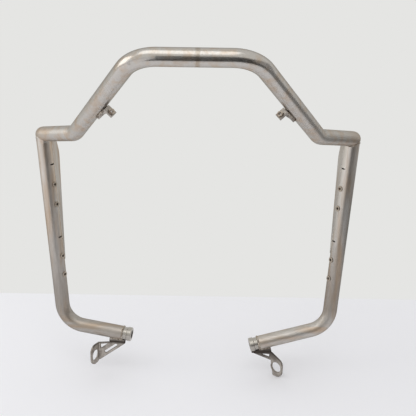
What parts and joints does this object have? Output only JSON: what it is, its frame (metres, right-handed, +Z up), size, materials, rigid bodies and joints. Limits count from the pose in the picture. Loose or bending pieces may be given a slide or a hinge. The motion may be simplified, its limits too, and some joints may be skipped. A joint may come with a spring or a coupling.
{
  "type": "motorcycle crash bars",
  "caption": "Welded steel crash bars for a motorcycle: a bent upper hoop, side tubes with threaded inserts, turned end collars and slotted foot brackets.",
  "frame": {"origin": "middle of the guard's width and depth, at the height of its lowest point", "axes": "+Z up, -Y to the front of the motorcycle, +X to the right as seen from the front"},
  "size_m": [0.572, 0.2786, 0.6108],
  "materials": {
    "tube_steel": "brushed",
    "plate_steel": "satin",
    "turned_steel": "satin",
    "insert_steel": "satin"
  },
  "bodies": {
    "root": {"left_collar": "turned_steel", "left_end_cap": "plate_steel", "left_foot_bracket": "plate_steel", "left_gusset": "plate_steel", "left_lower_inserts": "insert_steel", "left_saddle": "plate_steel", "left_shoulder_tab": "plate_steel", "left_side_tube": "tube_steel", "left_tab_nut": "insert_steel", "left_upper_inserts": "insert_steel", "right_collar": "turned_steel", "right_end_cap": "plate_steel", "right_foot_bracket": "plate_steel", "right_gusset": "plate_steel", "right_lower_inserts": "insert_steel", "right_saddle": "plate_steel", "right_shoulder_tab": "plate_steel", "right_side_tube": "tube_steel", "right_tab_nut": "insert_steel", "right_upper_inserts": "insert_steel", "upper_hoop": "tube_steel"}
  },
  "joints": []
}
